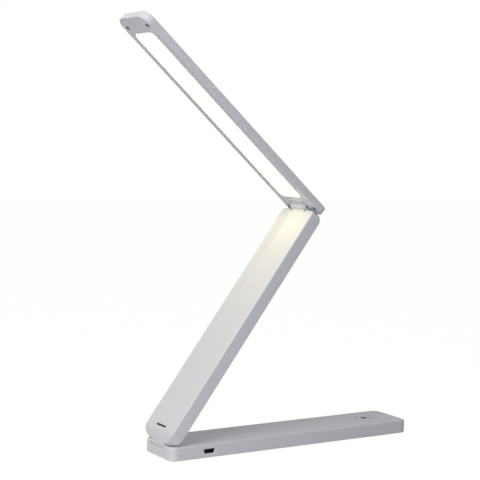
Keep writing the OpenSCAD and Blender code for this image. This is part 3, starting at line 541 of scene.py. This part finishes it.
# ---- Arm: the housing ----
# A second tray of the same ABS. A rounded tongue in the middle of each end turns in the next bar.
# Two heels beside the lower one lie just over the base's top, and the upper one ends flush with
# the lit face when the lamp is open, with a bead over its pin.
low_axis, up_axis = (Vector(joint["pos_m"]) for joint in frame["joints"])
ARM_TILT = 53.45
in_arm = (Matrix.Translation(low_axis) @ Matrix.Rotation(math.radians(-ARM_TILT), 4, "Y")
          @ Matrix.Scale(MM, 4))
PITCH = 188.5
ARM_LOW, ARM_HIGH = 0.2, 9.8
ARM_ROOF = 8.4
ARM_ENDS = (-2.889, 186.2)
ARM_CORNERS = (9.2, 2.5)
ARM_OPENING = (10, 176)
ARM_OPENING_CORNER = 2.5
UP_AXIS_Z = 10.0
TONGUE_Y = 9.0
LEAN = 36.55
ARM_SCREWS = [(u, y) for u in (16, 170) for y in (-13.5, 13.5)]
LOW_BARREL_R = 6.2
UP_BARREL_R = 4.0
UP_BEAD_R = 2.1
UP_EYE_R = 1.6
UP_PIN_HOLE_R = 1.25
HEEL_R = 1.5
HEEL_CENTRE = (-0.791, 5.264)
FLANK_EDGE_R = 7.0
FLANK_EDGE = (5.12, 2.8)
LOW_SLOT = (7.1, 0.65, 6.5)
UP_SLOT = (179.0, 1.1, 5.2)
SLOT_FLOOR = 8.6
PAST_Y = 20


def barrel_cuts(x, z, ear_r, washer_r, pin_r, knuckle_r):
    """What a barrel leaves free: its ears' grooves, the washers, the pin and the steel knuckle."""
    cuts = []
    for way in (-1, 1):
        for radius, inner in ((ear_r + 0.3, 7.7), (washer_r + 0.3, 7.0)):
            ends = sorted((way * inner, way * 9.1))
            cuts.append(prism(arc(x, z, radius, 0, 360, 64)[:-1], *ends))
    cuts.append(prism(arc(x, z, pin_r, 0, 360, 24)[:-1], -10, 10))
    cuts.append(prism(arc(x, z, knuckle_r, 0, 360, 40)[:-1], -3.0, 3.0))
    return cuts


shell = piece("arm_housing", plate(*ARM_ENDS, BAR_Y, ARM_CORNERS, ARM_LOW, ARM_HIGH,
                                   low_rim=0.9, high_rim=0.9))
low_side = ([(12, 0.3), (12, ARM_HIGH), (2.81, ARM_HIGH)]
            + arc(0, 0, LOW_BARREL_R, 90 + LEAN, 361, 60))
BACK_END = 181.99
up_side = ([(ARM_OPENING[1], ARM_HIGH - 0.1), (ARM_OPENING[1], ARM_LOW), (BACK_END, ARM_LOW)]
           + arc(PITCH, UP_AXIS_Z, UP_BARREL_R, LEAN - 90, 181, 60))
heel_front = ([(7.128, 13)] + arc(*HEEL_CENTRE, HEEL_R, 90 + LEAN, 180 + LEAN, 10)
              + [(2.288, -1.407), (-8, -1.407), (-8, 13)])
flank_edge = arc(*FLANK_EDGE, FLANK_EDGE_R, 90, 90 + LEAN, 12) + [(-1.0, 11.05), (FLANK_EDGE[0], 13.0)]
back_slope = [(BACK_END, ARM_LOW), (179.29, -1.8), (188, -1.8), (188, 4.654)]
up_wedge = [(PITCH + u, UP_AXIS_Z + z)
            for u, z in ((0.1825, -0.2), (0.7315, 5.775), (-6, 5.775), (-6, -0.2))]
mould(shell,
      cut=[plate(*ARM_OPENING, BAR_Y - WALL, [ARM_OPENING_CORNER] * 2, -0.8, ARM_ROOF),
           prism(heel_front, -PAST_Y, PAST_Y), prism(back_slope, -PAST_Y, PAST_Y)],
      add=[prism(low_side, -TONGUE_Y, TONGUE_Y), prism(up_side, -TONGUE_Y, TONGUE_Y)],
      cut_edge=[prism(flank_edge, -PAST_Y, PAST_Y)],
      cut_wedge=[prism(up_wedge, -TONGUE_Y - 0.1, TONGUE_Y + 0.1)],
      add_bead=[prism(arc(PITCH, UP_AXIS_Z, UP_BEAD_R, 0, 360, 48)[:-1], -7.0, 7.0)],
      cut_low=barrel_cuts(0, 0, LOW_EAR_R, 4.2, LOW_PIN_HOLE_R, 5.0),
      cut_up=barrel_cuts(PITCH, UP_AXIS_Z, 3.9, 2.7, UP_PIN_HOLE_R, UP_EYE_R + 0.1),
      cut_leaves=[block((0, -3.1, 2.4), (11, 3.1, 4.0)),
                  block((175, -3.1, 6.4), (PITCH + 1.1, 3.1, 7.6)),
                  block((PITCH - 1.1, -3.1, 7.0), (PITCH + 1.1, 3.1, 9.0))],
      cut_slots=[block((u - wide, -long, SLOT_FLOOR), (u + wide, long, 11))
                 for u, wide, long in (LOW_SLOT, UP_SLOT)],
      add_bosses=[turned([(BOSS_R, ARM_LOW + COVER), (BOSS_R, 8.9)], *place)
                  for place in ARM_SCREWS])
ease(shell, 0.1)
fit(shell, in_arm, "arm", white_abs, "white_plastic", "arm_shell")

# ---- Arm: the cover ----
# The lid that closes the arm's back, moulded in the same ABS. It lies flush in the tray and is held
# by four sunk screws.
lid = piece("arm_lid", plate(ARM_OPENING[0] + COVER_GAP, ARM_OPENING[1] - COVER_GAP, BAR_Y - inwards,
                             [ARM_OPENING_CORNER - COVER_GAP] * 2, ARM_LOW, ARM_LOW + COVER,
                             low_rim=0.15))
mould(lid, cut=[turned([(SEAT_R, -0.8), (SEAT_R, ARM_LOW + SEAT)], *place) for place in ARM_SCREWS],
      cut_hole=[turned([(SHANK_HOLE_R, -1), (SHANK_HOLE_R, 3)], *place) for place in ARM_SCREWS])
ease(lid, 0.08)
fit(lid, in_arm, "arm", white_abs, "white_plastic", "arm_cover")

screws("arm_lid_screws", "arm_screws", [(u, y, ARM_LOW + SEAT) for u, y in ARM_SCREWS], 6.6, 1,
       "arm", in_arm)

# ---- Arm: hinge steel ----
# In each tongue a pressed leaf of bare steel is moulded into the barrel and screwed to the housing;
# the upper one is a strip with a rolled eye. The leaves are satin, with long scratches from the
# brush, and the pins of drawn steel rod are brighter.
brushed = grained("brushed_sheet_steel", "#a9acb0", "#92969b", grain=0.25, rough=0.35, swing=0.1,
                  relief=0.12, metal=1.0, stretch=(0.08, 1, 1), turn=-ARM_TILT)
drawn = grained("drawn_steel_rod", "#bfc1c4", "#adb0b4", grain=0.2, rough=0.22, swing=0.05,
                relief=0.06, metal=1.0, stretch=(1, 0.1, 1))
dress(brushed, "lower_leaf")
leaf = piece("upper_leaf_strip", block((PITCH - 26, -3, 6.6), (PITCH + 0.9, 3, 7.4)))
mould(leaf, add=[block((PITCH - 0.9, -3, 7.0), (PITCH + 0.9, 3, 9.0)),
                 prism(arc(PITCH, UP_AXIS_Z, UP_EYE_R, 0, 360, 40)[:-1], -3, 3)],
      cut_eye=[prism(arc(PITCH, UP_AXIS_Z, UP_PIN_HOLE_R, 0, 360, 24)[:-1], -4, 4)],
      cut_holes=[turned([(LEAF_HOLE_R, 6), (LEAF_HOLE_R, 8)], PITCH - u, 0) for u in (16, 22)])
ease(leaf, 0.06)
fit(leaf, in_arm, "arm", brushed, "bare_steel", "upper_leaf")
dress(drawn, "lower_hinge_pin", "upper_hinge_pin")
dress(blackened, "lower_leaf_screws", "upper_leaf_screws")

# ---- Arm: the slot inserts ----
# A narrow black strip at the arm's foot and a broader white one near its top fill two slots in the
# broad face. Both are ABS mouldings, pressed in; the black one lies deeper and is nearly dull.
strip_black = grained("black_moulded_abs", "#050506", "#09090a", grain=0.3, rough=0.85, relief=0.1)
for name, node, (u, wide, long), gap, high, material, slot in (
        ("black_strip", "lower_slot_insert", LOW_SLOT, 0.05, 9.3, strip_black, "black_plastic"),
        ("white_strip", "upper_slot_insert", UP_SLOT, 0.1, 9.75, white_abs, "white_plastic")):
    strip = piece(name, block((u - wide + gap, 0.1 - long, SLOT_FLOOR),
                              (u + wide - gap, long - 0.1, high)))
    ease(strip, 0.12)
    fit(strip, in_arm, "arm", material, slot, node)

# ---- Head: the housing ----
# The thinnest tray, open towards the lit face. A housing at its hinge end has a round notch with
# one straight flank for the arm's upper tongue.
HEAD_TILT = 138.2
FLANK_TILT = 128.45
in_head = (Matrix.Translation(up_axis) @ Matrix.Rotation(math.radians(-HEAD_TILT), 4, "Y")
           @ Matrix.Scale(MM, 4))
HEAD_LOW, HEAD_HIGH = -5.6, -0.2
HEAD_WALL = 1.3
HEAD_ENDS = (-8.3, 183.5)
HEAD_CORNERS = (3.3, 7.8)
UP_NOTCH_R = 4.3
HEAD_SCREWS = [(x, y) for x, away in ((-1.9, 15.1), (175.2, 13.8)) for y in (-away, away)]
shell = piece("head_housing", plate(*HEAD_ENDS, BAR_Y, HEAD_CORNERS, HEAD_LOW, HEAD_HIGH,
                                    low_rim=1.0, high_rim=0.2))
flank = [Matrix.Rotation(math.radians(-FLANK_TILT), 2) @ Vector(corner)
         for corner in ((0, 0), (0, -12.9), (UP_NOTCH_R, -12.9), (UP_NOTCH_R, 0))]
mould(shell,
      cut=[plate(HEAD_ENDS[0] + HEAD_WALL, HEAD_ENDS[1] - HEAD_WALL, BAR_Y - HEAD_WALL,
                 [r - HEAD_WALL for r in HEAD_CORNERS], -4.4, 1.0)],
      add=[block((-7.5, -10.4, -4.9), (5.4, 10.4, HEAD_HIGH))],
      cut_notch=[prism(arc(0, 0, UP_NOTCH_R, 0, 360, 60)[:-1], -NOTCH_Y, NOTCH_Y),
                 prism([tuple(corner) for corner in flank], -NOTCH_Y, NOTCH_Y)],
      cut_slots=[block((0, y - EAR_GAP, -3.4), (6.5, y + EAR + EAR_GAP, -1.3)) for y in EARS_Y],
      add_bosses=[turned([(BOSS_R, -4.9), (BOSS_R, -1.2)], *place) for place in HEAD_SCREWS])
ease(shell, 0.08)
fit(shell, in_head, "head", white_abs, "white_plastic", "head_shell")

# ---- Head: the bezel ----
# A flat frame round the window, moulded in the same ABS, let into the housing's rim and held by
# four sunk screws. A fine line is engraved all round it.
WINDOW = (9.9, 169.65, 12.7)
WINDOW_CORNER = 4
BEZEL_LOW = -1.2
BEZEL_GAP = 0.15
line_rings = [outline(7.2, 179.5, 15.2, (1.0, 4.2), inset=inset) for inset in (0.0, 0.35)]
fine_line = bmesh.new()
corners = [[[fine_line.verts.new((x, y, z)) for x, y in ring] for ring in line_rings]
           for z in (-0.4, 0.5)]
for i in range(len(line_rings[0])):
    j = (i + 1) % len(line_rings[0])
    (outer, inner), (outer_up, inner_up) = corners
    for face in ((outer[i], outer[j], outer_up[j], outer_up[i]),
                 (inner[j], inner[i], inner_up[i], inner_up[j]),
                 (outer[j], outer[i], inner[i], inner[j]),
                 (outer_up[i], outer_up[j], inner_up[j], inner_up[i])):
        fine_line.faces.new(face)
bmesh.ops.recalc_face_normals(fine_line, faces=fine_line.faces)
inwards = HEAD_WALL + BEZEL_GAP
bezel = piece("head_frame", plate(HEAD_ENDS[0] + inwards, HEAD_ENDS[1] - inwards, BAR_Y - inwards,
                                  [r - inwards for r in HEAD_CORNERS], BEZEL_LOW, HEAD_HIGH,
                                  high_rim=0.12))
mould(bezel, cut=[plate(*WINDOW, [WINDOW_CORNER] * 2, -2, 1),
                  block((-9, -10.55, -2), (5.55, 10.55, 1))],
      cut_seats=[turned([(SEAT_R, -1.1), (SEAT_R, 1)], *place) for place in HEAD_SCREWS],
      cut_holes=[turned([(SHANK_HOLE_R, -2), (SHANK_HOLE_R, 0)], *place) for place in HEAD_SCREWS],
      cut_line=[fine_line])
ease(bezel, 0.08)
fit(bezel, in_head, "head", white_abs, "white_plastic", "head_bezel")
screws("bezel_screws", "head_screws", [(x, y, -1.1) for x, y in HEAD_SCREWS], 3.4, -1, "head", in_head)

# ---- Head: the light panel ----
# The diffuser is an opal acrylic sheet lit from behind: it glows warm white, with a faint cloud from
# the guide's dots, and sends little light out sideways. To the eye it is plain white. Behind it lie
# the clear guide with its dots and the white reflector film.
OPAL_GLOW = 5.7
opal = bpy.data.materials.new("opal_acrylic_lit")
opal.use_nodes = True
tree = opal.node_tree
tree.nodes.clear()
place = add(tree, "ShaderNodeTexCoord").outputs["Object"]
cloud = add(tree, "ShaderNodeTexNoise", links={"Vector": place}, Scale=60.0, Detail=2.0)
level = add(tree, "ShaderNodeMapRange", links={"Value": cloud.outputs["Fac"]},
            To_Min=OPAL_GLOW * 0.94, To_Max=OPAL_GLOW * 1.06)
rays = add(tree, "ShaderNodeLightPath")
side = add(tree, "ShaderNodeNewGeometry")
slant = add(tree, "ShaderNodeVectorMath", {"operation": "DOT_PRODUCT"},
            {0: side.outputs["Incoming"], 1: side.outputs["Normal"]})
ahead = add(tree, "ShaderNodeMapRange", links={"Value": slant.outputs["Value"]},
            From_Min=0.05, From_Max=0.16, To_Min=0.1, To_Max=1.0)
level = add(tree, "ShaderNodeMath", {"operation": "MULTIPLY"},
            {0: level.outputs[0], 1: ahead.outputs[0]})
glow = add(tree, "ShaderNodeEmission", links={"Strength": level.outputs[0]}, Color=linear("#ffedb0"))
white = add(tree, "ShaderNodeEmission", Color=linear("#fffffc"), Strength=1.06)
shown = add(tree, "ShaderNodeMixShader",
            links={0: rays.outputs["Is Camera Ray"], 1: glow.outputs[0], 2: white.outputs[0]})
add(tree, "ShaderNodeOutputMaterial", links={"Surface": shown.outputs[0]})
guide = grained("clear_dotted_acrylic", "#eef4f5", "#dfe9eb", grain=1.2, rough=0.12, swing=0.05,
                relief=0.2, pattern="CELLS", clear=0.9)
film = grained("white_reflector_film", "#f2f2f0", "#e9e9e6", grain=0.4, rough=0.5, relief=0.06)
dress(opal, "diffuser")
dress(guide, "light_guide")
dress(film, "reflector_sheet")

# ---- Head: the light sources ----
# Two aluminium-core boards under white mask carry a row of yellow phosphor emitters each, which
# shine into the guide's long edges.
white_mask = grained("white_solder_mask", "#e8e8e4", "#dcdcd6", grain=0.8, rough=0.4, relief=0.1,
                     pattern="BANDS")
phosphor = grained("phosphor_in_silicone", "#ecdf8a", "#dfcd6c", grain=0.2, rough=0.3, relief=0.15)
dress(white_mask, "led_boards")
dress(phosphor, "leds")

# ---- Head: the bracket of the upper hinge ----
# The smaller sister of the lower bracket: its ears hold the upper barrel, and its plate is screwed
# to the inside of the head's back.
UP_EAR_R = 2.2
bracket("upper_ears", "upper_bracket", UP_EAR_R, UP_PIN_HOLE_R, (0, -3.2, -1.5),
        (5.5, 8.6, -3.2, -2.4), 10.0, (7.1, 8.2), "head", in_head)
dress(nylon, "upper_washers")
dress(blackened, "upper_bracket_screws")
